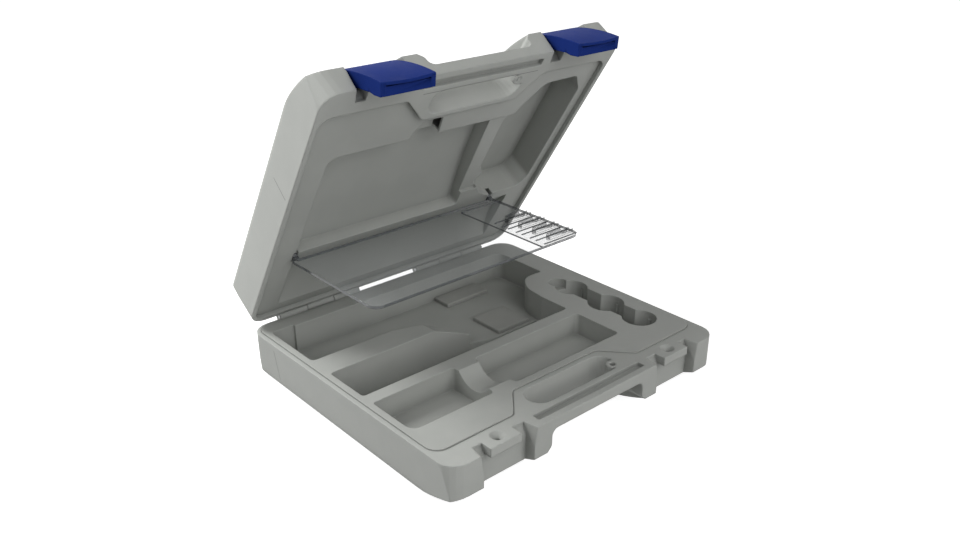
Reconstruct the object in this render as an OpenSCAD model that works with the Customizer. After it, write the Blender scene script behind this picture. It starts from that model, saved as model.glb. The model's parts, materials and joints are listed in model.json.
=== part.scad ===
/* [Case] */
// Width of the case across its rim
case_width = 300; // [290:1:330]
// Depth of the case from the handle face to the hinge side
case_depth = 276; // [272:1:300]
// Height of the base below the rim plane
base_height = 45; // [43:1:60]
// Height of the lid above the rim plane
lid_height = 45; // [41:1:60]
// Wall of the two outer shells
shell_wall = 2.4; // [2:0.1:2.8]
// How far each side leans in from the rim to the flat face
side_draft = 5; // [3:0.5:7]
// Height of the base's handle face, from the rim to where the belly starts
face_height = 28; // [26:1:30]
// Height of the lid's handle face
lid_face_height = 22.5; // [21:0.5:26]
// Length of the curved belly behind the handle face
belly_length = 80; // [70:1:90]
// Plan radius of the case corners
corner_r = 16; // [12:1:20]
// Gap between the two rims when the case is shut
rim_gap = 0.3; // [0.2:0.1:0.6]

/* [Handle] */
// Width of the finger opening
opening_width = 95; // [88:1:100]
// Depth of the finger opening
opening_depth = 25; // [22:1:28]
// Depth of the grip bar in front of the opening
bar_depth = 19; // [16:1:21]
// Thickness of one half of the grip bar
bar_thickness = 9.5; // [7:0.5:12]
// Length of the groove along the grip bar
groove_length = 120; // [100:1:126]
// Width of the groove along the grip bar
groove_width = 7.3; // [5:0.1:8]
// Depth of the groove along the grip bar
groove_depth = 3.5; // [2:0.5:4]
// Radius of the hole in the seal eye beside the opening
eye_hole_r = 2.6; // [2:0.1:3.2]
// Thickness of the seal eye
eye_thickness = 5; // [3:0.5:7]

/* [Latches] */
// Distance between the middles of the two latches
latch_pitch = 190.6; // [186:0.2:196]
// Width of the recess that takes a latch
recess_width = 50.1; // [48:0.1:52]
// Depth of the recess behind the handle face
recess_depth = 10; // [9.5:0.1:10.6]
// Width of the strike block in the recess
strike_width = 30; // [26:0.5:31]
// Height of the strike block that the latch hooks under
strike_height = 7.5; // [6:0.5:9]
// Width of one latch
latch_width = 46.6; // [45:0.1:47.4]
// Length of one latch
latch_length = 48.8; // [48:0.2:50]
// Thickness of the latch skin
latch_skin = 2.5; // [2:0.1:2.7]
// Thickness of a latch cheek
cheek_thickness = 4; // [3:0.5:5]
// Depth of the latch at its free end
hook_depth = 10; // [9.2:0.1:10.1]
// Radius of the latch pins
latch_pin_r = 1.5; // [1.2:0.1:1.8]
// Angle of the latches, out from the shut position
latch_open = 32; // [0:1:60]

/* [Hinge] */
// Distance of the hinge axis behind the rear rim
hinge_reach = 3.2; // [3:0.1:4]
// Outer radius of the hinge knuckles
knuckle_r = 4.2; // [4:0.1:5]
// Radius of the hinge pins
hinge_pin_r = 1.5; // [1.2:0.1:2]
// Distance from the middle of the case to the first knuckle
hinge_start = 34; // [28:1:40]
// Length of one hinge section
hinge_length = 86; // [80:1:92]
// Angle of the lid, up from the shut position
lid_open = 57; // [0:1:90]

/* [Trays] */
// Wall and floor of the two inner trays
tray_wall = 2; // [1.6:0.1:2.4]
// Height of the base tray above the rim
plateau_rise = 0.9; // [0.6:0.1:1.2]
// Depth of the lid tray behind the rim
lid_recess = 4; // [3.8:0.1:4.6]
// Width of the rim beside the trays
rim_margin = 4.5; // [4:0.1:6]
// Distance of the trays behind the handle face, beside the handle
front_line = 23.5; // [23:0.5:28]
// Gap round the tray flanges
tray_gap = 0.15; // [0.1:0.05:0.3]

/* [Base compartments] */
// Distance of the compartments from the left side of the case
pocket_margin = 10; // [9:0.5:13]
// Width of the front compartment
front_pocket_depth = 50; // [44:1:52]
// Width of the middle compartment on its left
lane_depth = 46; // [42:1:48]
// Thickness of the divider between front and middle compartments
divider_thickness = 12.5; // [9:0.5:14]
// Width of the tongue between the middle and rear compartments
tongue_width = 26; // [22:1:28]
// Floor of the front compartment below the rim
front_floor = 19.5; // [15:0.5:28]
// Floor of the middle compartment below the rim
lane_floor = 38; // [30:0.5:39]
// Floor of the rear compartment below the rim
rear_floor = 26; // [22:0.5:29]
// Distance of the rear compartment from the hinge side
rear_margin = 22; // [18:1:24]
// Width of the block that holds the round pockets
block_width = 65; // [62:1:70]
// Floor of the round pockets below the rim
lobe_floor = 30; // [24:1:36]

/* [Lid compartments] */
// Floor of the wide lid compartment behind the rim
wide_floor = 20.6; // [16:0.2:26]
// Floor of the long lid pocket behind the rim
long_floor = 32; // [26:0.5:36]
// Distance of the wide compartment from the left side
wide_margin = 28; // [26:0.5:32]
// How much lower the ridge between the lid compartments is than the tray
ridge_drop = 3.5; // [2.5:0.1:4.5]

/* [Clear cover] */
// Thickness of the clear cover
cover_thickness = 2.5; // [2:0.1:2.6]
// Length of the clear cover from its pivots to its front edge
cover_depth = 117; // [110:1:119]
// Right edge of the clear cover from the middle of the case
cover_right = 98; // [96:1:100]
// Left edge of the clear cover from the left side of the case
cover_margin = 24.5; // [24:0.5:27]
// Distance of the cover pivots behind the handle face
cover_pivot_y = 194.4; // [193:0.2:196]
// Distance of the cover pivots behind the lid rim
cover_pivot_drop = 6; // [5.6:0.1:6.6]
// Radius of the cover pins
cover_pin_r = 1.2; // [1:0.1:1.4]
// Pitch of the rows of clips
clip_pitch = 17.8; // [14:0.1:19]
// Length of one clip
clip_length = 30; // [24:1:31]
// Radius of the clip cradle at its wide end
cradle_r = 4.4; // [3.8:0.1:4.8]
// Radius of the clip cradle at its narrow end
cradle_tip_r = 2.5; // [2.2:0.1:3]

/* [Hidden] */

shell_grey = [0.66, 0.67, 0.65];
tray_grey = [0.60, 0.61, 0.59];
pad_grey = [0.56, 0.57, 0.55];
latch_blue = [0.13, 0.20, 0.52];
steel = [0.72, 0.73, 0.75];
clear = [0.85, 0.88, 0.90, 0.35];

over = 1;                                  // how far a cut runs past a face
fit = 0.05;                                // radial running fit of a pin in its bore
fine = 64;                                 // sides of a true circle
left = -case_width / 2;
right = case_width / 2;
latch_x = latch_pitch / 2;
recess_in = latch_x - recess_width / 2;
hinge_y = case_depth + hinge_reach;
hinge_z = rim_gap / 2;
handle_line = bar_depth + opening_depth + 5;

// The trays reach from the front line round the finger opening to the hinge side
tray_points = [[left + rim_margin, front_line], [-recess_in, front_line],
    [-opening_width / 2, handle_line], [opening_width / 2, handle_line],
    [recess_in, front_line], [right - rim_margin, front_line],
    [right - rim_margin, case_depth - rim_margin], [left + rim_margin, case_depth - rim_margin]];
tray_radii = [11, 6, 7, 7, 6, 11, 10, 10];
flange_seat = 1.2;                         // flange underside of the base tray below the rim
flange_ledge = 3;                          // width of the ledge that carries a flange

// Latch pivot, from the handle face and the lid rim, and the latch about it
pivot_y = 6.5;
pivot_z = 13;
skin_reach = 7.2;                          // from the pivot out to the latch face
latch_top = 11.4;                          // from the pivot to the pivot end of the latch
barrel_r = latch_pin_r + 1.8;
notch_extra = 2.7;                         // how much deeper the cheek notches are at the rim
notch_height = 9;
strike_shift = 1.2;                        // the strike sits this far outwards in the recess
facet_width = 2.6;                         // the facet beside the recess, across and down
facet_height = 17.4;
hook_gap = 0.5;                            // under the strike when shut
hook_height = 4.4;
lip_bow = 2.2;                             // how far the free edge of the latch bows out
corner_lean = 4;                           // the front corners lean in by this much
corner_lean_height = 18;
corner_sweep_r = 24;                       // and then sweep round under the case

// Plan positions of the base compartments, counted from the handle face and the left side
front_y = handle_line + 7;
lane_y = front_y + front_pocket_depth + divider_thickness;
tongue_y = lane_y + lane_depth;
rear_y = tongue_y + tongue_width;
rear_edge = case_depth - rear_margin;
pocket_x = left + pocket_margin;
block_x = right - block_width;
saddle_left = pocket_x + 80;
saddle_width = 22;
saddle_r = 22;
saddle_depth = 9;
tongue_tip_x = pocket_x + 147;
tongue_slope_x = pocket_x + 107;
tongue_taper_x = pocket_x + 80;
tongue_tip_drop = 16.6;
step_x = tongue_tip_x + 23;
step_y = tongue_y - 7.5;
lobe_x = right - 29.5;
lobes = [[63, 15.5], [103, 17], [147, 15.5]];      // place behind the handle face, and radius
lobe_neck = 9.5;
thumb = [162.5, 9.5, 8];                   // place, radius and depth of the shallow end

// Plan of the wide lid compartment and the long lid pocket
wide_x = left + wide_margin;
wide_y = 74;
wide_rear = cover_pivot_y - 5.8;
wide_dip_y = wide_y + 31;                  // where the curved floor is deepest
wide_floor_r = 588;
ridge_front = 42;
ridge_rear = 50.5;
long_right = right - 13.5;
long_points = [[86, 42.5], [long_right - 13.5, 41.5], [long_right - 0.5, 60], [long_right, 176],
    [long_right - 8.5, 188.5], [88, 188.5], [76, 181], [63.5, 165], [70, 155], [62, 143],
    [60, 84], [71, 62]];
long_radii = [12, 8, 10, 8, 8, 10, 8, 3, 2, 3, 10, 14];
ridge_points = [[ridge_front - 4, wide_y], [73, wide_y], [64, 120], [66, 144], [73, 155], [66, 172],
    [ridge_rear - 5, 172]];
ridge_radii = [0.4, 0.4, 4, 4, 2, 1, 0.4];
notch_points = [[-17, wide_y + 3], [-20.5, 55.5], [-41.5, 55.5], [-49, wide_y + 3]];
notch_radii = [0.4, 2, 5, 0.4];
scoop_r = 60;
scoop_depth = 9;
scoop_y = cover_pivot_y + 36;

// The clear cover lies between the raised base tray and the lid tray when the case is shut
cover_left = left + cover_margin;
cover_low = plateau_rise - rim_gap + (lid_recess - plateau_rise + rim_gap - cover_thickness) / 2;
cover_rear = cover_pivot_y - 3.4;
cover_front = cover_rear - cover_depth;
carrier_x = 51;
carrier_thickness = 1.3;
lug_thickness = 4;
lug_r = 2.8;
lug_inset = 2;
pin_seat = 5;                              // how deep a cover pin sits in its boss
clip_x = 64;
clip_first = cover_front + 7.3;

function unit(v) = v / norm(v);
function turn(a) = a > 180 ? a - 360 : (a < -180 ? a + 360 : a);
function arc(c, r, a0, sweep, n) =
    [for (i = [0:n]) c + r * [cos(a0 + sweep * i / n), sin(a0 + sweep * i / n)]];
function fillet(a, p, b, r, n) =
    let (u = unit(a - p), v = unit(b - p), half = acos(u * v) / 2)
    let (c = p + unit(u + v) * r / sin(half))
    let (s = p + u * r / tan(half) - c, e = p + v * r / tan(half) - c)
    let (a0 = atan2(s[1], s[0]))
    arc(c, r, a0, turn(atan2(e[1], e[0]) - a0), n);
function around(pts, i) = pts[(i + len(pts)) % len(pts)];
// Outline through pts, counter-clockwise, with each corner rounded to its own radius
function filleted(pts, radii, n = 5) =
    [for (i = [0:len(pts) - 1]) each fillet(around(pts, i - 1), pts[i], around(pts, i + 1), radii[i], n)];
function outward(a, b) = let (d = unit(b - a)) [d[1], -d[0]];
// The same corners moved outwards by d, and the radii that keep the rounds concentric
function grown(pts, d) =
    [for (i = [0:len(pts) - 1])
        let (m = outward(around(pts, i - 1), pts[i]), k = outward(pts[i], around(pts, i + 1)))
        pts[i] + d * (m + k) / (1 + m * k)];
function grown_radii(pts, radii, d) =
    [for (i = [0:len(pts) - 1])
        let (a = pts[i] - around(pts, i - 1), b = around(pts, i + 1) - pts[i])
        max(0.4, radii[i] + (a[0] * b[1] - a[1] * b[0] > 0 ? d : -d))];
function box_points(x0, y0, x1, y1) = [[x0, y0], [x1, y0], [x1, y1], [x0, y1]];
function same(r, pts) = [for (p = pts) r];

// A prism of a rounded outline, grown by d, between two heights
module prism(pts, radii, z0, z1, d = 0) {
    translate([0, 0, z0])
        linear_extrude(z1 - z0)
            polygon(filleted(grown(pts, d), grown_radii(pts, radii, d)));
}

// A bar with its profile in the plane of depth and height, along the width
module along_width(x0, x1) {
    translate([x0, 0, 0])
        rotate([90, 0, 90])
            linear_extrude(x1 - x0)
                children();
}

// A true cylinder along the width
module rod(x0, x1, y, z, r, sides = fine) {
    translate([x0, y, z])
        rotate([0, 90, 0])
            cylinder(h = x1 - x0, r = r, $fn = sides);
}

// Side outline of a half: flat face, curved belly behind the handle face, leaning rear wall
module side_outline(h, face, inset = 0) {
    belly_r = (pow(belly_length, 2) + pow(h - face, 2)) / (2 * (h - face));
    intersection() {
        union() {
            translate([belly_length, -h + inset])
                square([case_depth - belly_length - inset, h - inset + over]);
            intersection() {
                translate([belly_length, belly_r - h])
                    circle(r = belly_r - inset, $fn = 256);
                translate([inset, -h])
                    square([belly_length - inset + over, h + over]);
            }
        }
        polygon(filleted([[-over, over * 2], [-over, -h + inset], [case_depth - side_draft - inset, -h + inset],
            [case_depth - inset, 0], [case_depth - inset, over * 2]], [0.1, 0.1, 7, 0.5, 0.1]));
    }
}

// Front outline of a half: sides that lean in, and rounded lower edges
module front_outline(h, inset = 0) {
    polygon(filleted([[left + inset, over], [left + inset, 0], [left + side_draft + inset, -h + inset],
        [right - side_draft - inset, -h + inset], [right - inset, 0], [right - inset, over]],
        [0.1, 0.5, 7, 7, 0.5, 0.1]));
}

// Outline across a front corner, seen level along the other diagonal
module corner_outline(h, inset = 0) {
    edge = corner_r + (right - 2 * corner_r) / sqrt(2) - inset;
    polygon(filleted([[edge, over], [edge, 0], [edge - corner_lean, -corner_lean_height],
        [edge - corner_lean - 10, -h + 12], [edge - corner_lean - 44, -h - over],
        [-2 * right, -h - over], [-2 * right, over]],
        [0.1, 0.1, corner_sweep_r * 0.4, corner_sweep_r, 0.1, 0.1, 0.1]));
}

// Solid form of a half, rim at height 0 and the rest below it
module half_blank(h, face, inset = 0) {
    intersection() {
        prism(box_points(left, 0, right, case_depth), same(corner_r, [1, 2, 3, 4]), -h, 0, -inset);
        along_width(left, right)
            side_outline(h, face, inset);
        translate([0, case_depth, 0])
            rotate([90, 0, 0])
                linear_extrude(case_depth)
                    front_outline(h, inset);
        for (side = [0, 1])
            mirror([side, 0, 0])
                rotate([0, 0, -45])
                    rotate([90, 0, 0])
                        translate([0, 0, -2 * case_width])
                            linear_extrude(4 * case_width)
                                corner_outline(h, inset);
    }
}

// Finger opening, the space under the grip bar, and the groove on its rim face
module handle_cuts(h, face) {
    ends = opening_depth / 2 - 0.5;
    reach = opening_width / 2 + 4.5;
    flare = 6;
    prism(box_points(-opening_width / 2, bar_depth, opening_width / 2, bar_depth + opening_depth),
        same(ends, [1, 2, 3, 4]), -h - over, over);
    translate([0, bar_depth + opening_depth / 2, 0])
        rotate([90, 0, 0])
            linear_extrude(bar_depth + opening_depth)
                polygon(filleted([[-reach - flare, -h - 2 * over], [reach + flare, -h - 2 * over],
                    [reach + flare, -face - 1.5], [reach, -face + flare - 1.5], [reach, -bar_thickness],
                    [-reach, -bar_thickness], [-reach, -face + flare - 1.5], [-reach - flare, -face - 1.5]],
                    [0.5, 0.5, 0.5, 5, 6, 6, 5, 0.5]));
    groove_y = bar_depth / 2 + 0.4;
    prism(box_points(-groove_length / 2, groove_y - groove_width / 2, groove_length / 2,
        groove_y + groove_width / 2), same(1.2, [1, 2, 3, 4]), -groove_depth, over);
}

// Eye for a seal at the right end of the opening
module seal_eye() {
    eye_y = bar_depth + 6;
    eye_x = opening_width / 2 - 5.5;
    difference() {
        union() {
            translate([eye_x, eye_y, -eye_thickness])
                cylinder(h = eye_thickness, r = 5.5, $fn = fine);
            translate([eye_x, eye_y - 5.5, -eye_thickness])
                cube([9, 11, eye_thickness]);
        }
        translate([eye_x, eye_y, -eye_thickness - over])
            cylinder(h = eye_thickness + 2 * over, r = eye_hole_r, $fn = fine);
    }
}

// Cut for the slanted facet beside a latch recess, its wall at the origin and the case to the right
module recess_facet() {
    apex = recess_depth + notch_extra;
    normal = unit([apex * facet_height, facet_width * facet_height, -facet_width * apex]);
    intersection() {
        translate([-over, -over, -facet_height - over])
            cube([facet_width + 2 * over, apex + over, facet_height + 2 * over]);
        translate([0, apex, 0])
            rotate(acos(normal[2]), [-normal[1], normal[0], 0])
                translate([-30, -30, -60])
                    cube([60, 60, 60]);
    }
}

// Recess for the right latch, centred on its own middle, with its strike block left standing
module latch_recess(h, block_height) {
    half = recess_width / 2;
    block = strike_width / 2;
    difference() {
        union() {
            translate([-half, -over, -h - over])
                cube([recess_width, recess_depth + over, h + 2 * over]);
            along_width(-half, half)
                polygon([[recess_depth - over, -notch_height], [recess_depth, -notch_height],
                    [recess_depth + notch_extra, -notch_height / 3], [recess_depth + notch_extra, over],
                    [recess_depth - over, over]]);
            for (side = [0, 1])
                mirror([side, 0, 0])
                    translate([half, 0, 0])
                        recess_facet();
        }
        translate([strike_shift - block, 2.3, -block_height])
            cube([strike_width, recess_depth + notch_extra, block_height]);
    }
}

// Space for the trays in a half, with the ledge that the flange sits on
module tray_space(h, face, seat) {
    prism(tray_points, tray_radii, -seat, over, tray_gap);
    intersection() {
        half_blank(h, face, shell_wall);
        prism(tray_points, tray_radii, -h, over, -flange_ledge);
    }
}

function knuckle_x(i) = hinge_start + i * hinge_length / 3;

// One hinge knuckle on both sides, with the web that joins it to the wall below
module knuckles(first, step) {
    gap = 0.3;
    for (side = [-1, 1])
        for (i = [first:step:2]) {
            x0 = side > 0 ? knuckle_x(i) : -knuckle_x(i + 1);
            difference() {
                union() {
                    rod(x0 + gap, x0 + hinge_length / 3 - gap, hinge_y, 0, knuckle_r);
                    translate([x0 + gap, case_depth - 3, -knuckle_r - hinge_z])
                        cube([hinge_length / 3 - 2 * gap, hinge_reach + 3, knuckle_r]);
                }
                rod(x0 - over, x0 + hinge_length / 3 + over, hinge_y, 0, hinge_pin_r + fit);
            }
        }
}

// Room in a half for the knuckles of the other half
module knuckle_room(first, step) {
    for (side = [-1, 1])
        for (i = [first:step:2])
            rod((side > 0 ? knuckle_x(i) : -knuckle_x(i + 1)) - 0.3,
                (side > 0 ? knuckle_x(i + 1) : -knuckle_x(i)) + 0.3, hinge_y, 0, knuckle_r + 0.5);
}

// A half shell, rim at height 0: blank, handle, latch recesses and tray space
module half_shell(h, face, seat, block_height) {
    difference() {
        half_blank(h, face);
        tray_space(h, face, seat);
        handle_cuts(h, face);
        for (side = [0, 1])
            mirror([side, 0, 0])
                translate([latch_x, 0, 0])
                    latch_recess(h, block_height);
    }
    seal_eye();
}

module in_base() {
    translate([0, -case_depth / 2, base_height])
        children();
}

// Lid pieces are drawn shut and upside down, then turned over and swung up about the hinge
module in_lid() {
    in_base()
        translate([0, hinge_y, hinge_z])
            rotate([-lid_open, 0, 0])
                translate([0, -hinge_y, rim_gap - hinge_z])
                    mirror([0, 0, 1])
                        children();
}

module base_shell() {
    color(shell_grey)
        in_base() {
            difference() {
                half_shell(base_height, face_height, flange_seat, strike_height);
                for (side = [-1, 1])
                    translate([side * (latch_x + strike_shift), recess_depth + 2, 0]) {
                        translate([0, 0, -4])
                            cylinder(h = 4 + over, r1 = 2, r2 = 7, $fn = fine);
                        translate([0, 0, -6.5])
                            cylinder(h = 3, r = 2, $fn = fine);
                    }
                translate([0, 0, hinge_z])
                    knuckle_room(1, 3);
            }
            translate([0, 0, hinge_z])
                knuckles(0, 2);
        }
}

// Plan outlines of the base compartments
function rear_points() = [[pocket_x, rear_y], [tongue_taper_x, rear_y], [tongue_tip_x, tongue_y + 4],
    [tongue_tip_x, step_y - 6], [block_x, step_y - 6], [block_x + 3, rear_y - 16],
    [block_x + 16, rear_y + 1.5], [right - 26, rear_y + 1.5], [right - 26, rear_edge],
    [pocket_x + 22, rear_edge], [pocket_x + 22, rear_edge + 2.5], [pocket_x, rear_edge + 2.5]];
rear_radii = [5, 8, 0.6, 1, 1, 28, 18, 1.5, 9, 0.6, 0.6, 5];
function lane_points() = [[pocket_x, lane_y], [block_x, lane_y], [block_x, step_y], [step_x, step_y],
    [tongue_tip_x, tongue_y], [pocket_x, tongue_y]];
lane_radii = [3, 3, 1, 4, 0.6, 3];
function tub_points() = box_points(pocket_x, front_y, saddle_left, front_y + front_pocket_depth);
tub_radii = [9, 4, 3, 3];
function front_points() =
    box_points(saddle_left + saddle_width, front_y, block_x, front_y + front_pocket_depth);
front_radii = [4, 4, 4, 4];

// The row of round pockets, as three wells, a neck between them and a shallow thumb end
module lobe_row(grow, floor_z, top_z, thumb_z) {
    for (lobe = lobes)
        translate([lobe_x, lobe[0], floor_z])
            cylinder(h = top_z - floor_z, r = lobe[1] + grow, $fn = fine);
    translate([lobe_x - lobe_neck - grow, lobes[0][0], floor_z])
        cube([2 * (lobe_neck + grow), lobes[2][0] - lobes[0][0], top_z - floor_z]);
    translate([lobe_x - 2, thumb[0], thumb_z])
        cylinder(h = top_z - thumb_z, r = thumb[1] + grow, $fn = fine);
}

// A compartment's outer skin, from under the flange to below its floor
module tray_skin(pts, radii, floor_depth, flange_z) {
    prism(pts, radii, -floor_depth - tray_wall, flange_z + 0.5, tray_wall);
}

module base_tray() {
    color(tray_grey)
        in_base() {
            difference() {
                union() {
                    prism(tray_points, tray_radii, -flange_seat, plateau_rise);
                    tray_skin(rear_points(), rear_radii, rear_floor, -flange_seat);
                    tray_skin(lane_points(), lane_radii, lane_floor, -flange_seat);
                    tray_skin(tub_points(), tub_radii, front_floor, -flange_seat);
                    tray_skin(front_points(), front_radii, front_floor, -flange_seat);
                    lobe_row(tray_wall, -lobe_floor - tray_wall, -flange_seat + 0.5,
                        -thumb[2] - tray_wall);
                    translate([tongue_taper_x - 2, tongue_y, -rear_floor - tray_wall])
                        cube([tongue_tip_x - tongue_taper_x + 1, tongue_width, rear_floor]);
                    translate([saddle_left, front_y, -saddle_depth - 5])
                        cube([saddle_width, front_pocket_depth, saddle_depth + 4.5]);
                }
                prism(rear_points(), rear_radii, -rear_floor, over + plateau_rise);
                prism(lane_points(), lane_radii, -lane_floor, over + plateau_rise);
                prism(tub_points(), tub_radii, -front_floor, over + plateau_rise);
                prism(front_points(), front_radii, -front_floor, over + plateau_rise);
                lobe_row(0, -lobe_floor, over + plateau_rise, -thumb[2]);
                translate([0, tongue_y + tongue_width + 2, 0])
                    rotate([90, 0, 0])
                        linear_extrude(tongue_width + 4)
                            polygon([[tongue_slope_x, plateau_rise], [tongue_tip_x + 1, -tongue_tip_drop],
                                [tongue_tip_x + 1, 4], [tongue_slope_x, 4]]);
                rod(saddle_left - over, saddle_left + saddle_width + over,
                    front_y + front_pocket_depth / 2, saddle_r - saddle_depth, saddle_r);
            }
            for (lobe = lobes)
                intersection() {
                    translate([lobe_x + lobe[1] + 0.3, lobe[0], -lobe_floor])
                        cylinder(h = lobe_floor - 6, r = 1.6, $fn = 24);
                    translate([lobe_x, lobe[0], -lobe_floor])
                        cylinder(h = lobe_floor, r = lobe[1] + 1, $fn = fine);
                }
        }
}

// A glued pad with a bevelled top, on the floor of the rear compartment
module floor_pad(x, y, w, d) {
    pad_height = 3.8;
    bevel = 0.8;
    color(pad_grey)
        in_base()
            difference() {
                translate([x, y, -rear_floor])
                    cube([w, d, pad_height]);
                translate([x, y, -rear_floor + pad_height - bevel])
                    for (edge = [[0, w, d, 90], [0, d, w, 0]])
                        rotate([0, 0, edge[3] == 90 ? 0 : 90])
                            mirror([0, edge[3] == 90 ? 0 : 1, 0])
                                for (far = [0, 1])
                                    translate([0, far * edge[2], 0])
                                        mirror([0, far, 0])
                                            translate([-over, 0, 0])
                                                rotate([90, 0, 90])
                                                    linear_extrude(edge[1] + 2 * over)
                                                        polygon([[-over, -over], [-over, bevel + over],
                                                            [bevel + over, bevel + over]]);
            }
}

module rear_pad() {
    floor_pad(block_x - 47, rear_edge - 21.5, 51, 21);
}

module front_pad() {
    floor_pad(block_x - 46, step_y + 3, 38, 36);
}

module lid_shell() {
    color(shell_grey)
        in_lid()
            difference() {
                union() {
                    difference() {
                        half_shell(lid_height, lid_face_height, lid_recess + tray_wall, 9);
                        knuckle_room_lid();
                        for (side = [-1, 1])
                            latch_sweep(side * latch_x);
                    }
                    translate([0, 0, rim_gap - hinge_z])
                        knuckles(1, 3);
                }
                for (side = [-1, 1])
                    rod(side * latch_x - recess_width / 2 - 3.2, side * latch_x + recess_width / 2 + 3.2,
                        pivot_y, -pivot_z, latch_pin_r + 0.02);
            }
}

module knuckle_room_lid() {
    translate([0, 0, rim_gap - hinge_z])
        knuckle_room(0, 2);
}

// Room behind the latch for its pivot end to swing in
module latch_sweep(x) {
    intersection() {
        rod(x - recess_width / 2, x + recess_width / 2, pivot_y, -pivot_z, 14);
        translate([x - recess_width / 2, -over, -pivot_z - 20])
            cube([recess_width, 30, 24]);
    }
}

function wide_points() = [[wide_x, wide_y], [ridge_front, wide_y], [ridge_rear, wide_rear],
    [wide_x, wide_rear]];
wide_radii = [9, 4, 4, 3];

module lid_tray() {
    flange_top = -lid_recess;
    flange_low = -lid_recess - tray_wall;
    boss_z = cover_pivot_drop;
    color(tray_grey)
        in_lid()
            difference() {
                union() {
                    prism(tray_points, tray_radii, flange_low, flange_top);
                    tray_skin(wide_points(), wide_radii, wide_floor, flange_low);
                    tray_skin(long_points, long_radii, long_floor, flange_low);
                    tray_skin(notch_points, notch_radii, 12, flange_low);
                    tray_skin(ridge_points, ridge_radii, lid_recess + ridge_drop, flange_low);
                    intersection() {
                        rod(wide_x - tray_wall, right - 28, scoop_y,
                            flange_top + scoop_r - scoop_depth, scoop_r + tray_wall);
                        translate([left, 0, flange_low - scoop_depth])
                            cube([case_width, case_depth, scoop_depth + 1]);
                    }
                    for (x = [cover_left + lug_inset - pin_seat - 1, cover_right - lug_inset])
                        translate([x, cover_pivot_y - 4, flange_low - 5])
                            cube([pin_seat + 1, 8.5, 6]);
                }
                intersection() {
                    prism(wide_points(), wide_radii, -wide_floor - over, over);
                    rod(left, right, wide_dip_y, wide_floor_r - wide_floor, wide_floor_r, 512);
                }
                prism(long_points, long_radii, -long_floor, over);
                prism(notch_points, notch_radii, -12, over);
                prism(ridge_points, ridge_radii, -lid_recess - ridge_drop, over);
                rod(wide_x, right - 30, scoop_y, flange_top + scoop_r - scoop_depth, scoop_r);
                for (x = [cover_left + lug_inset, cover_right - lug_inset - lug_thickness])
                    translate([x - 0.3, cover_pivot_y - 6.5, flange_low - 5])
                        cube([lug_thickness + 0.6, 12.5, 12]);
                rod(cover_left + lug_inset - pin_seat, cover_left + lug_inset + 1, cover_pivot_y, -boss_z,
                    cover_pin_r + 0.02);
                rod(cover_right - lug_inset - 1, cover_right - lug_inset + pin_seat, cover_pivot_y, -boss_z,
                    cover_pin_r + 0.02);
            }
}

// Steel pin through one hinge section
module hinge_pin(side) {
    color(steel)
        in_base()
            rod(side > 0 ? knuckle_x(0) + 0.6 : -knuckle_x(3) + 0.6,
                side > 0 ? knuckle_x(3) - 0.6 : -knuckle_x(0) - 0.6, hinge_y, hinge_z, hinge_pin_r);
}

module left_hinge_pin() {
    hinge_pin(-1);
}

module right_hinge_pin() {
    hinge_pin(1);
}

// Outline of a latch cheek, with the pivot at the origin, the face towards negative depth
// and the free end upwards, towards the base
function cheek_points() = [[-skin_reach, -latch_top], [-skin_reach + 5, -latch_top + 1.5],
    [barrel_r, -barrel_r], [barrel_r, 2], [1.7, 10], [1.7, latch_length - latch_top - 14],
    [hook_depth - skin_reach, latch_length - latch_top - 9],
    [hook_depth - skin_reach, latch_length - latch_top - 1], [-skin_reach, latch_length - latch_top]];
cheek_radii = [0.6, 1.5, 2.5, 2, 3, 2, 1, 0.8, 0.8];

module latch(side) {
    half = latch_width / 2;
    inner = half - cheek_thickness;
    tip = latch_length - latch_top;
    hook_start = pivot_z + rim_gap + strike_height + hook_gap;
    bow_r = (pow(half - 1.5, 2) + pow(lip_bow, 2)) / (2 * lip_bow);
    color(latch_blue)
        in_lid()
            translate([side * latch_x, pivot_y, -pivot_z])
                rotate([latch_open, 0, 0])
                    difference() {
                        union() {
                            for (x = [-half, inner])
                                along_width(x, x + cheek_thickness)
                                    polygon(filleted(cheek_points(), cheek_radii));
                            translate([-inner - over, -skin_reach, -latch_top])
                                cube([2 * (inner + over), latch_skin, latch_length]);
                            rod(-inner - over, inner + over, 0, 0, barrel_r);
                            translate([-inner - over, -skin_reach + 1, -1.5])
                                cube([2 * (inner + over), skin_reach - 1, 3]);
                            translate([-inner - over, -skin_reach + latch_skin - over, hook_start])
                                cube([2 * (inner + over), hook_depth - latch_skin + over - 1, hook_height]);
                            translate([-inner - over, -skin_reach + latch_skin + 1.3, tip - 5])
                                cube([2 * (inner + over), hook_depth - latch_skin - 1.3, 3.8]);
                            intersection() {
                                translate([-half, -skin_reach, tip - 1])
                                    cube([latch_width, latch_skin - 0.3, lip_bow + 1]);
                                translate([0, -skin_reach, tip + lip_bow - bow_r])
                                    rotate([-90, 0, 0])
                                        cylinder(h = latch_skin, r = bow_r, $fn = 256);
                            }
                        }
                        rod(-half - over, half + over, 0, 0, latch_pin_r + fit);
                    }
}

module left_latch() {
    latch(-1);
}

module right_latch() {
    latch(1);
}

module latch_pin(side) {
    reach = recess_width / 2 + 3;
    color(steel)
        in_lid()
            rod(side * latch_x - reach, side * latch_x + reach, pivot_y, -pivot_z, latch_pin_r);
}

module left_latch_pin() {
    latch_pin(-1);
}

module right_latch_pin() {
    latch_pin(1);
}

// Cover pieces are drawn folded against the lid and swung down to stay level with the base
module on_cover() {
    in_lid()
        translate([0, cover_pivot_y, -cover_pivot_drop])
            rotate([-lid_open, 0, 0])
                translate([0, -cover_pivot_y, cover_pivot_drop])
                    children();
}

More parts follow.
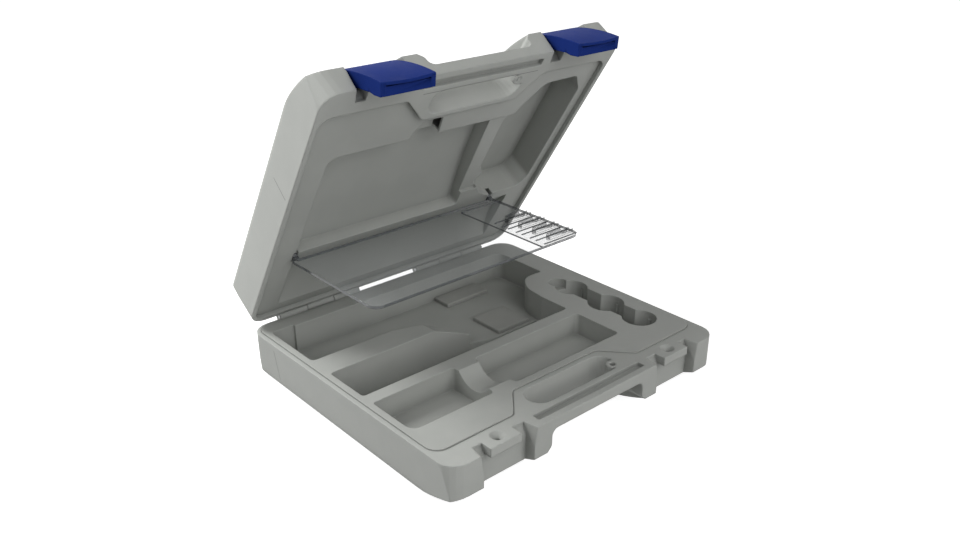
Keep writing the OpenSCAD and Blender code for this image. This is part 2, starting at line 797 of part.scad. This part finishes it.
module clear_cover() {
    z1 = -cover_low;
    z0 = z1 - cover_thickness;
    color(clear)
        on_cover()
            difference() {
                union() {
                    prism(box_points(cover_left, cover_front, cover_right, cover_rear), [9, 9, 1, 1], z0, z1);
                    for (x = [cover_left + lug_inset, cover_right - lug_inset - lug_thickness]) {
                        rod(x, x + lug_thickness, cover_pivot_y, -cover_pivot_drop, lug_r);
                        translate([x, cover_rear - 2, -cover_pivot_drop])
                            cube([lug_thickness, 5, cover_pivot_drop - cover_low]);
                    }
                }
                for (x = [cover_left + lug_inset, cover_right - lug_inset - lug_thickness])
                    rod(x - over, x + lug_thickness + over, cover_pivot_y, -cover_pivot_drop,
                        cover_pin_r + fit);
                prism(box_points(carrier_x, cover_front - over, cover_right + over, cover_rear - 8),
                    [1, 1, 1, 1], z0 - over, z0 + carrier_thickness);
            }
}

module cover_pin(x0) {
    color(steel)
        in_lid()
            rod(x0, x0 + pin_seat + lug_thickness, cover_pivot_y, -cover_pivot_drop, cover_pin_r);
}

module left_cover_pin() {
    cover_pin(cover_left + lug_inset - pin_seat);
}

module right_cover_pin() {
    cover_pin(cover_right - lug_inset - lug_thickness);
}

// Clear plate let into the cover, with a pair of low rails for each clip
module clip_carrier() {
    z0 = -cover_low - cover_thickness;
    gap = 0.1;
    color(clear)
        on_cover() {
            prism(box_points(carrier_x + gap, cover_front, cover_right, cover_rear - 8 - gap),
                [0.5, 9, 1, 0.5], z0, z0 + carrier_thickness - gap);
            for (i = [0:3])
                for (rail = [-5.6, 4.8])
                    translate([carrier_x + 4, clip_first + i * clip_pitch + rail, z0 - 0.9])
                        cube([cover_right - carrier_x - 7, 0.8, 1]);
        }
}

// Open cradle that widens along the width, its axis level and its open side away from the cover
module cradle(length, r0, r1, z) {
    wall = 0.9;
    open_half = 66;
    translate([0, 0, z])
        rotate([0, 90, 0])
            rotate([0, 0, open_half])
                rotate_extrude(angle = 360 - 2 * open_half, $fn = fine)
                    polygon([[r0 - wall, 0], [r0, 0], [r1, length], [r1 - wall, length]]);
}

// One clip: a foot with a widening cradle, a second cradle behind it, on one strip
module specula_clip(i) {
    z0 = -cover_low - cover_thickness;
    strip = 0.8;
    half = 1.9;
    foot = 1.4;
    axis_z = -strip - cradle_r - 0.2;
    rest_r = cradle_r - 1.6;
    color(clear)
        on_cover()
            translate([0, clip_first + i * clip_pitch, z0]) {
                translate([clip_x, -half, -strip])
                    cube([clip_length, 2 * half, strip]);
                translate([clip_x, -half, axis_z + 0.3])
                    cube([foot, 2 * half, -axis_z - 0.3]);
                translate([clip_x + foot - 0.4, 0, 0])
                    cradle(clip_length * 0.62, cradle_tip_r, cradle_r, axis_z);
                translate([clip_x + clip_length - 5.5, 0, 0])
                    cradle(4.5, rest_r, rest_r + 0.2, -strip - rest_r + 0.3);
            }
}

module specula_clip_1() {
    specula_clip(0);
}

module specula_clip_2() {
    specula_clip(1);
}

module specula_clip_3() {
    specula_clip(2);
}

module specula_clip_4() {
    specula_clip(3);
}

base_shell();
base_tray();
rear_pad();
front_pad();
lid_shell();
lid_tray();
left_hinge_pin();
right_hinge_pin();
left_latch();
right_latch();
left_latch_pin();
right_latch_pin();
clear_cover();
left_cover_pin();
right_cover_pin();
clip_carrier();
specula_clip_1();
specula_clip_2();
specula_clip_3();
specula_clip_4();
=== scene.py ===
"""Looks of an open instrument carry case on a pale floor, in metres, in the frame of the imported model."""

import json
import math

import bmesh
import bpy
import numpy as np
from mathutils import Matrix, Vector


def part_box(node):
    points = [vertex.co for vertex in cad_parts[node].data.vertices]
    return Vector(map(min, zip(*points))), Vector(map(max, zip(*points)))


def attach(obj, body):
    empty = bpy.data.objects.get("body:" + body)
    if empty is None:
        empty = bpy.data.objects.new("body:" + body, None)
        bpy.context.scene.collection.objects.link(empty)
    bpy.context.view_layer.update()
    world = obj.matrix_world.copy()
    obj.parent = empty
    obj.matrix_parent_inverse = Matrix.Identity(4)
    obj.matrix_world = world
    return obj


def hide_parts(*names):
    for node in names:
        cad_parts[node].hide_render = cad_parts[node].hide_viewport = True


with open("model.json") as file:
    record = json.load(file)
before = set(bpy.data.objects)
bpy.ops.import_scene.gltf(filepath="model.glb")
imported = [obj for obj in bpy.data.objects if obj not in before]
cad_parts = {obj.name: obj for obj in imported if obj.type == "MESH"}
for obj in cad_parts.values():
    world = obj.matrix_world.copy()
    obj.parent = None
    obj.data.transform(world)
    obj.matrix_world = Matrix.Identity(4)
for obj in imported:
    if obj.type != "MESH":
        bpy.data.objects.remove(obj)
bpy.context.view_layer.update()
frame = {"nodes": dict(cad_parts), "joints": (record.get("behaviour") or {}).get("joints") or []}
nodes = frame["nodes"]
joints = {joint["name"]: joint for joint in frame["joints"]}

MM = 0.001
RIM = 45 * MM
LID_OPEN = math.radians(57)


# Shader helpers

MIX_SHARE, MIX_FIRST, MIX_SECOND = 0, 6, 7
MIX_RESULT = 2


def srgb(r, g, b):
    """Linear colour of an sRGB colour given from 0 to 255."""
    def part(c):
        c /= 255
        return c / 12.92 if c <= 0.04045 else ((c + 0.055) / 1.055) ** 2.4
    return (part(r), part(g), part(b), 1.0)


def shade(colour, factor):
    """A colour made darker or paler by a factor, with no part above 1."""
    return tuple(min(1.0, c * factor) for c in colour[:3]) + (1.0,)


class Tree:
    """A node tree that is built by naming node types and what feeds them."""

    def __init__(self, tree):
        self.tree = tree

    def put(self, socket, value):
        """Links an output to a socket, or sets the socket to a plain value."""
        if isinstance(value, bpy.types.NodeSocket):
            self.tree.links.new(value, socket)
        else:
            socket.default_value = value

    def node(self, kind, settings=None, **inputs):
        """A new node with its settings, and its inputs fed by their names."""
        made = self.tree.nodes.new("ShaderNode" + kind)
        for key, value in (settings or {}).items():
            setattr(made, key, value)
        for key, value in inputs.items():
            self.put(made.inputs[key.replace("_", " ")], value)
        return made

    def math(self, operation, a, b=0.0):
        made = self.node("Math", {"operation": operation})
        self.put(made.inputs[0], a)
        self.put(made.inputs[1], b)
        return made.outputs[0]

    def ramp(self, value, low, high, to_low=0.0, to_high=1.0):
        """The value between low and high, eased and spread over a new span."""
        return self.node("MapRange", {"interpolation_type": "SMOOTHSTEP"}, Value=value, From_Min=low,
                         From_Max=high, To_Min=to_low, To_Max=to_high).outputs["Result"]

    def mix(self, share, a, b):
        """Colour a where the share is 0, and colour b where it is 1."""
        made = self.node("Mix", {"data_type": "RGBA"})
        self.put(made.inputs[MIX_SHARE], share)
        self.put(made.inputs[MIX_FIRST], a)
        self.put(made.inputs[MIX_SECOND], b)
        return made.outputs[MIX_RESULT]

    def noise(self, place, scale, detail=2.0, roughness=0.5):
        return self.node("TexNoise", Vector=place, Scale=scale, Detail=detail,
                         Roughness=roughness).outputs[0]

    def stretched(self, place, scale):
        return self.node("Mapping", Vector=place, Scale=scale).outputs[0]

    def part_of(self, vector, axis):
        return self.node("SeparateXYZ", Vector=vector).outputs[axis]

    def place(self):
        return self.node("TexCoord").outputs["Object"]

    def facing_up(self):
        """How far a face looks up, from -1 to 1."""
        return self.part_of(self.node("TexCoord").outputs["Normal"], "Z")

    def bump(self, height, strength, distance, normal):
        return self.node("Bump", Height=height, Strength=strength, Distance=distance,
                         Normal=normal).outputs[0]

    def group(self, shared, **inputs):
        return self.node("Group", {"node_tree": shared}, **inputs).outputs


# Effects that several materials share

SCUFF_DEPTH = 0.8


def shared_effect(name, inputs, outputs):
    """An empty shader group with named number inputs and named outputs."""
    group = bpy.data.node_groups.new(name, "ShaderNodeTree")
    for label, value in inputs:
        group.interface.new_socket(label, in_out="INPUT", socket_type="NodeSocketFloat").default_value = value
    for label, kind in outputs:
        group.interface.new_socket(label, in_out="OUTPUT", socket_type="NodeSocket" + kind)
    given = group.nodes.new("NodeGroupInput").outputs
    out = group.nodes.new("NodeGroupOutput").inputs
    return group, Tree(group), given, out


def moulded_grain():
    """Height of a fine even grain, a slow mottle and small scuffs, which lie along x in patches."""
    group, t, given, out = shared_effect("moulded_grain", [("Grains per metre", 1800), ("Scuffs", 0.3)],
                                         [("Height", "Float"), ("Mottle", "Float"), ("Scuff", "Float")])
    place = t.place()
    fine = t.noise(place, given["Grains per metre"], detail=3.0, roughness=0.6)
    slow = t.noise(place, scale=24.0, detail=3.0, roughness=0.55)
    streaks = t.noise(t.stretched(place, (1.0, 6.0, 1.6)), scale=210.0, detail=4.0, roughness=0.7)
    scratch = t.ramp(streaks, low=0.66, high=0.78)
    patches = t.ramp(t.noise(place, scale=11.0), low=0.5, high=0.68)
    scuff = t.math("MULTIPLY", t.math("MULTIPLY", scratch, patches), given["Scuffs"])
    dent = t.math("MULTIPLY", scuff, SCUFF_DEPTH)
    t.put(out["Height"], t.math("SUBTRACT", fine, dent))
    t.put(out["Mottle"], slow)
    t.put(out["Scuff"], scuff)
    return group


def rounded_edge():
    """Normal that runs round each edge, and a broken mask along the edges."""
    group, t, given, out = shared_effect("rounded_edge", [("Radius", 0.8 * MM), ("Breaks", 0.5)],
                                         [("Normal", "Vector"), ("Edge", "Float")])
    soft = t.node("Bevel", {"samples": 6}, Radius=given["Radius"]).outputs[0]
    flat = t.node("NewGeometry").outputs["Normal"]
    likeness = t.node("VectorMath", {"operation": "DOT_PRODUCT"})
    t.put(likeness.inputs[0], soft)
    t.put(likeness.inputs[1], flat)
    turn = t.ramp(t.math("SUBTRACT", 1.0, likeness.outputs["Value"]), low=0.02, high=0.24)
    broken = t.ramp(t.noise(t.place(), scale=320.0, detail=3.0, roughness=0.65), low=0.35, high=0.65)
    kept = t.math("SUBTRACT", 1.0, t.math("MULTIPLY", given["Breaks"], broken))
    t.put(out["Normal"], soft)
    t.put(out["Edge"], t.math("MULTIPLY", turn, kept))
    return group


def settled_dust():
    """Mask of fine dust on faces that look up, thicker in slow patches."""
    group, t, given, out = shared_effect("settled_dust", [("Amount", 0.2)], [("Mask", "Float")])
    patches = t.ramp(t.noise(t.place(), scale=60.0, detail=5.0, roughness=0.7), low=0.4, high=0.75)
    mask = t.math("MULTIPLY", t.ramp(t.facing_up(), low=0.6, high=0.98), patches)
    t.put(out["Mask"], t.math("MULTIPLY", mask, given["Amount"]))
    return group


def hollow_painted_shade():
    """Mask of painted shade in corners and at the bottom of deep hollows, found by ambient occlusion and
    broken up in patches.
    """
    group, t, given, out = shared_effect("hollow_painted_shade", [("Reach", 14 * MM), ("Amount", 0.3)],
                                         [("Mask", "Float")])
    openness = t.node("AmbientOcclusion", {"samples": 6}, Distance=given["Reach"]).outputs["AO"]
    closed = t.ramp(openness, low=0.25, high=0.95, to_low=1.0, to_high=0.0)
    patches = t.ramp(t.noise(t.place(), scale=35.0, detail=3.0), low=0.2, high=0.8, to_low=0.75)
    mask = t.math("MULTIPLY", closed, patches)
    t.put(out["Mask"], t.math("MULTIPLY", mask, given["Amount"]))
    return group


grain = moulded_grain()
edges = rounded_edge()
dust = settled_dust()
painted_hollow_shade = hollow_painted_shade()


# Kinds of plastic and metal

DUST_GREY = srgb(196, 194, 188)
SEAM_GREY = srgb(70, 72, 70)
SHEET_FACE_GREY = srgb(176, 180, 182)
STEEL_DARK = srgb(150, 151, 154)
STEEL_PALE = srgb(205, 206, 208)

EDGE_WEAR = 0.5
SCUFF_WEAR = 0.35
# How dark the painted shade in hollows makes the colour, as a share of it.
HOLLOW_SHADE_FACTOR = 0.4
SEAM_SHARE = 0.55
SEAM_SINK = 6.0
MOTTLE_ROUGHNESS = 0.12
SCUFF_ROUGHNESS = 0.15
# Share that rounded edges take in the painted edge shade of the clear sheets.
SHEET_ROUNDED_EDGE_SHADE = 0.6
SHEET_POLISH = 0.06
SHEET_SCUFF_ROUGHNESS = 0.3


def material(name):
    """A new material, its tree and the inputs of its shader."""
    made = bpy.data.materials.new(name)
    made.use_nodes = True
    return made, Tree(made.node_tree), made.node_tree.nodes["Principled BSDF"].inputs


def moulded_roughness(t, skin, middle):
    """A roughness that varies about its middle with the mottle, and is higher on scuffs."""
    varied = t.math("MULTIPLY", skin["Mottle"], MOTTLE_ROUGHNESS)
    varied = t.math("ADD", varied, middle - MOTTLE_ROUGHNESS / 2)
    return t.math("ADD", varied, t.math("MULTIPLY", skin["Scuff"], SCUFF_ROUGHNESS))


def moulded(name, colour, worn, roughness, radius, grains=1800.0, bump=0.03 * MM, breaks=0.5, seam=None,
            dusty=0.06, mottle=0.03, specular=0.2, hollow_shading=0.6):
    """Moulded plastic: grain, slow mottle, paler rounded edges, scuffs, dust, painted shade in hollows and an
    optional seam.
    """
    made, t, shader = material(name)
    skin = t.group(grain, Grains_per_metre=grains)
    edge = t.group(edges, Radius=radius, Breaks=breaks)
    base = t.mix(t.ramp(skin["Mottle"], low=0.3, high=0.7), shade(colour, 1 - mottle),
                 shade(colour, 1 + mottle))
    base = t.mix(t.math("MULTIPLY", edge["Edge"], EDGE_WEAR), base, worn)
    base = t.mix(t.math("MULTIPLY", skin["Scuff"], SCUFF_WEAR), base, worn)
    base = t.mix(t.group(dust, Amount=dusty)["Mask"], base, DUST_GREY)
    # Painted shade: the colour is darkened where ambient occlusion finds corners and deep hollows.
    base = t.mix(t.group(painted_hollow_shade, Amount=hollow_shading)["Mask"], base, shade(colour, HOLLOW_SHADE_FACTOR))
    height = skin["Height"]
    if seam:
        line = seam(t)
        base = t.mix(t.math("MULTIPLY", line, SEAM_SHARE), base, SEAM_GREY)
        height = t.math("SUBTRACT", height, t.math("MULTIPLY", line, SEAM_SINK))
    t.put(shader["Base Color"], base)
    t.put(shader["Roughness"], moulded_roughness(t, skin, roughness))
    t.put(shader["Normal"], t.bump(height, strength=0.6, distance=bump, normal=edge["Normal"]))
    shader["Specular IOR Level"].default_value = specular
    return made


def clear_sheet(name, face_alpha, edge_alpha, painted_edge_shade):
    """Clear plastic whose cut edges are less clear than its faces and carry painted shade: they are painted a
    darker grey.
    """
    made, t, shader = material(name)
    skin = t.group(grain, Grains_per_metre=900.0, Scuffs=0.5)
    edge = t.group(edges, Radius=0.6 * MM, Breaks=0.1)
    # Faces that stand on edge get painted shade: they are painted darker grey and made less clear.
    level = t.math("ABSOLUTE", t.facing_up())
    cut = t.ramp(level, low=0.35, high=0.75, to_low=1.0, to_high=0.0)
    cut = t.math("MAXIMUM", cut, t.math("MULTIPLY", edge["Edge"], SHEET_ROUNDED_EDGE_SHADE))
    alpha = t.math("ADD", t.math("MULTIPLY", cut, edge_alpha - face_alpha), face_alpha)
    scuffed = t.math("MULTIPLY", skin["Scuff"], SHEET_SCUFF_ROUGHNESS)
    t.put(shader["Base Color"], t.mix(cut, SHEET_FACE_GREY, painted_edge_shade))
    t.put(shader["Alpha"], alpha)
    t.put(shader["Roughness"], t.math("ADD", scuffed, SHEET_POLISH))
    t.put(shader["Normal"], t.bump(skin["Height"], strength=0.1, distance=0.01 * MM, normal=edge["Normal"]))
    return made


def drawn_steel(name):
    """Drawn wire: fine lines along its length over a plain metal."""
    made, t, shader = material(name)
    streak = t.noise(t.stretched(t.place(), (0.02, 1.0, 1.0)), scale=9000.0, detail=3.0, roughness=0.6)
    edge = t.group(edges, Radius=0.3 * MM)
    t.put(shader["Base Color"], t.mix(streak, STEEL_DARK, STEEL_PALE))
    t.put(shader["Roughness"], t.ramp(streak, low=0.2, high=0.8, to_low=0.22, to_high=0.42))
    t.put(shader["Normal"], t.bump(streak, strength=0.3, distance=0.01 * MM, normal=edge["Normal"]))
    shader["Metallic"].default_value = 1.0
    return made


# Seams of the shells, given for the shut case

SEAM_HALF_WIDTH = 0.25 * MM
LEFT_SIDE_X = (-151 * MM, -146 * MM)
BASE_SEAM_Y = 100 * MM
BASE_SEAM_Z = (8 * MM, 39 * MM)
LID_SEAM_Y = -26 * MM
LID_SEAM_Z = (50 * MM, 73 * MM)
GRIP_LINE_Y = -119 * MM
GRIP_LINE_X = (-58 * MM, 60 * MM)
GRIP_LINE_Z = (RIM - 1 * MM, RIM + 1 * MM)


def line_mask(t, place, y, span_x, span_z):
    """Mask of a thin line at one y, kept to a span of x and a span of z."""
    near = t.math("ABSOLUTE", t.math("SUBTRACT", t.part_of(place, "Y"), y))
    mask = t.ramp(near, SEAM_HALF_WIDTH, 2 * SEAM_HALF_WIDTH, to_low=1.0, to_high=0.0)
    for axis, (low, high) in (("X", span_x), ("Z", span_z)):
        along = t.part_of(place, axis)
        mask = t.math("MULTIPLY", mask, t.math("GREATER_THAN", along, low))
        mask = t.math("MULTIPLY", mask, t.math("LESS_THAN", along, high))
    return mask


def base_seam(t):
    """The short seam on the left side of the base."""
    return line_mask(t, t.place(), BASE_SEAM_Y, LEFT_SIDE_X, BASE_SEAM_Z)


def lid_seam(t):
    """The lid's side seam and the line along its grip, drawn with the lid turned back to where it is shut."""
    hinge = Vector(joints["lid_hinge"]["pos_m"])
    turned = Vector((0, hinge.y * math.cos(LID_OPEN) - hinge.z * math.sin(LID_OPEN),
                     hinge.y * math.sin(LID_OPEN) + hinge.z * math.cos(LID_OPEN)))
    shut = t.node("Mapping", Vector=t.place(), Rotation=(LID_OPEN, 0, 0),
                  Location=(0, hinge.y - turned.y, hinge.z - turned.z)).outputs[0]
    side = line_mask(t, shut, LID_SEAM_Y, LEFT_SIDE_X, LID_SEAM_Z)
    grip = line_mask(t, shut, GRIP_LINE_Y, GRIP_LINE_X, GRIP_LINE_Z)
    return t.math("MAXIMUM", side, grip)


# The materials of the case

SHELL_GREY = srgb(170, 172, 168)
TRAY_GREY = srgb(166, 168, 164)
WORN_GREY = srgb(196, 198, 194)
PAD_GREY = srgb(160, 161, 157)
PAD_WORN_GREY = srgb(190, 190, 186)
LATCH_BLUE = srgb(24, 44, 110)
LATCH_WORN_BLUE = srgb(54, 74, 146)
# Painted shade on the edges of the clear sheets.
COVER_EDGE_SHADE = srgb(84, 88, 90)
CARRIER_EDGE_SHADE = srgb(80, 84, 86)
CLIP_EDGE_SHADE = srgb(68, 72, 74)


def shell_plastic(name, seam):
    return moulded(name, SHELL_GREY, WORN_GREY, roughness=0.6, radius=2 * MM, seam=seam)


def tray_plastic():
    return moulded("tray_plastic", TRAY_GREY, WORN_GREY, roughness=0.5, radius=1.3 * MM, grains=2400.0,
                   bump=0.015 * MM)


def pad_foam():
    return moulded("pad_foam", PAD_GREY, PAD_WORN_GREY, roughness=0.85, radius=0.8 * MM, grains=900.0,
                   bump=0.12 * MM, breaks=0.2)


def latch_plastic():
    return moulded("latch_plastic", LATCH_BLUE, LATCH_WORN_BLUE, roughness=0.55, radius=0.9 * MM,
                   grains=2200.0, bump=0.012 * MM, dusty=0.02, mottle=0.06, specular=0.03, hollow_shading=0.4)


def cover_plastic():
    return clear_sheet("cover_plastic", face_alpha=0.16, edge_alpha=0.88, painted_edge_shade=COVER_EDGE_SHADE)


def carrier_plastic():
    return clear_sheet("carrier_plastic", face_alpha=0.08, edge_alpha=0.85, painted_edge_shade=CARRIER_EDGE_SHADE)


def clip_plastic():
    return clear_sheet("clip_plastic", face_alpha=0.08, edge_alpha=0.42, painted_edge_shade=CLIP_EDGE_SHADE)


def paint(made, *names):
    """Gives nodes one material in place of those they come with."""
    for name in names:
        slots = nodes[name].data.materials
        slots.clear()
        slots.append(made)


SIDES = ("left", "right")
PINS = [side + "_" + kind + "_pin" for kind in ("hinge", "latch", "cover") for side in SIDES]
CLIPS = ["specula_clip_%d" % i for i in (1, 2, 3, 4)]

paint(shell_plastic("base_shell_plastic", base_seam), "base_shell")
paint(shell_plastic("lid_shell_plastic", lid_seam), "lid_shell")
paint(tray_plastic(), "base_tray", "lid_tray")
paint(pad_foam(), "rear_pad", "front_pad")
paint(drawn_steel("pin_steel"), *PINS)
paint(cover_plastic(), "clear_cover")
paint(carrier_plastic(), "clip_carrier")
paint(clip_plastic(), *CLIPS)


# The latches, whose skins are bowed along their length

CROWN = 2.0 * MM
SKIN_DEPTH = 3.2 * MM
SLICES = 14
MERGE_GAP = 0.002 * MM
SHARP_ANGLE = math.radians(25)


def sliced_copy(name, low, high):
    """A merged copy of a node's mesh, cut across into slices of equal length."""
    sliced = bmesh.new()
    sliced.from_mesh(nodes[name].data)
    bmesh.ops.remove_doubles(sliced, verts=sliced.verts, dist=MERGE_GAP)
    for y in np.linspace(low.y, high.y, SLICES + 1)[1:-1]:
        parts = list(sliced.verts) + list(sliced.edges) + list(sliced.faces)
        bmesh.ops.bisect_plane(sliced, geom=parts, plane_co=(0, y, 0), plane_no=(0, 1, 0))
    mesh = bpy.data.meshes.new(name + "_crowned")
    sliced.to_mesh(mesh)
    sliced.free()
    return mesh


def bow(mesh, low, high):
    """Raises each point. One at a share s of the way from the pivot end to the tip rises by the crown times
    4 s (1 - s). Below the skin it rises less, by an eased step that ends at twice the skin's depth."""
    place = np.empty(len(mesh.vertices) * 3)
    mesh.vertices.foreach_get("co", place)
    place = place.reshape(-1, 3)
    share = (high.y - place[:, 1]) / (high.y - low.y)
    depth = np.clip((high.z - place[:, 2]) / SKIN_DEPTH - 1, 0, 1)
    place[:, 2] += CROWN * 4 * share * (1 - share) * (1 - depth * depth * (3 - 2 * depth))
    mesh.vertices.foreach_set("co", place.ravel())


def crowned_latch(name, plastic):
    """A bowed copy of a latch, which stands for the plain one and rides on its body."""
    low, high = (Vector(corner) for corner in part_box(name))
    mesh = sliced_copy(name, low, high)
    bow(mesh, low, high)
    mesh.polygons.foreach_set("use_smooth", np.ones(len(mesh.polygons), bool))
    mesh.set_sharp_from_angle(angle=SHARP_ANGLE)
    mesh.materials.append(plastic)
    piece = bpy.data.objects.new(name + "_crowned", mesh)
    bpy.context.scene.collection.objects.link(piece)
    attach(piece, name)
    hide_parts(name)


latch_blue_plastic = latch_plastic()
for side in SIDES:
    crowned_latch(side + "_latch", latch_blue_plastic)


# Floor and backdrop

WHITE = (1, 1, 1, 1)
FLOOR_SIZE = 8
FLOOR_DROP = 0.2 * MM
FLOOR_DARK = (0.52, 0.52, 0.52, 1)
FLOOR_PALE = (0.56, 0.56, 0.56, 1)
FLOOR_GLOW = 0.88
GLOW_RISES_FROM = 0.35
GLOW_FULL_AT = 0.9
AMBIENT = 0.13


def white_to_camera(t):
    """One for rays that see the backdrop straight, in a mirror or through glass, and nothing for others."""
    rays = t.node("LightPath").outputs
    seen = t.math("MAXIMUM", rays["Is Camera Ray"], rays["Is Glossy Ray"])
    return t.math("MAXIMUM", seen, rays["Is Transmission Ray"])


def floor_material():
    """Matt pale floor that fades to the white backdrop and keeps a soft shadow."""
    made, t, shader = material("pale_floor")
    place = t.place()
    speck = t.noise(place, scale=700.0)
    distance = t.node("VectorMath", {"operation": "LENGTH"})
    t.put(distance.inputs[0], place)
    glow = t.ramp(distance.outputs["Value"], GLOW_RISES_FROM, GLOW_FULL_AT, to_low=FLOOR_GLOW)
    t.put(shader["Base Color"], t.mix(speck, FLOOR_DARK, FLOOR_PALE))
    shader["Roughness"].default_value = 0.95
    shader["Specular IOR Level"].default_value = 0.0
    shader["Emission Color"].default_value = WHITE
    t.put(shader["Emission Strength"], t.math("MULTIPLY", white_to_camera(t), glow))
    return made


def lay_floor():
    bpy.ops.mesh.primitive_plane_add(size=FLOOR_SIZE, location=(0, 0, -FLOOR_DROP))
    floor = bpy.context.object
    floor.name = "floor"
    floor.data.materials.append(floor_material())


def hang_sky():
    """A world that looks white and lights the case only faintly."""
    world = bpy.data.worlds.new("world")
    world.use_nodes = True
    t = Tree(world.node_tree)
    background = world.node_tree.nodes["Background"].inputs
    background["Color"].default_value = WHITE
    extra = t.math("MULTIPLY", white_to_camera(t), 1 - AMBIENT)
    t.put(background["Strength"], t.math("ADD", extra, AMBIENT))
    bpy.context.scene.world = world


lay_floor()
hang_sky()
bpy.context.scene.view_settings.view_transform = "Standard"


# Lamps and camera

LAMP_TARGET = Vector((0, 0, 80 * MM))
# name, place, size in metres, power in watts
LAMPS = [
    ("left_lamp", (-0.95, -0.15, 0.75), 0.6, 2.0),
    ("high_front_lamp", (-0.1, -0.9, 1.0), 0.6, 2.6),
    ("front_lamp", (0.1, -1.2, 0.6), 0.8, 6.2),
    ("back_left_lamp", (-0.6, 0.9, 1.0), 0.6, 19.0),
]

CAMERA_PLACE = (-0.48144, -0.54776, 0.43823)
LOOKS_DOWN = math.radians(25.73)
TURNED_RIGHT = math.radians(41.62)
SENSOR_WIDTH = 36
FOCAL_LENGTH = 35.567
FRAME_SHIFT = (-0.0075, 0.0182)


def hang_lamp(name, place, size, power):
    """A square area lamp that faces the case."""
    data = bpy.data.lights.new(name, "AREA")
    data.size = size
    data.energy = power
    lamp = bpy.data.objects.new(name, data)
    lamp.location = place
    lamp.rotation_euler = (LAMP_TARGET - Vector(place)).to_track_quat("-Z", "Y").to_euler()
    bpy.context.scene.collection.objects.link(lamp)


def set_camera():
    lens = bpy.data.cameras.new("camera")
    lens.sensor_width = SENSOR_WIDTH
    lens.lens = FOCAL_LENGTH
    lens.shift_x, lens.shift_y = FRAME_SHIFT
    lens.clip_start = 10 * MM
    camera = bpy.data.objects.new("camera", lens)
    camera.location = CAMERA_PLACE
    camera.rotation_euler = (math.pi / 2 - LOOKS_DOWN, 0, -TURNED_RIGHT)
    bpy.context.scene.collection.objects.link(camera)
    bpy.context.scene.camera = camera


for lamp_values in LAMPS:
    hang_lamp(*lamp_values)
set_camera()
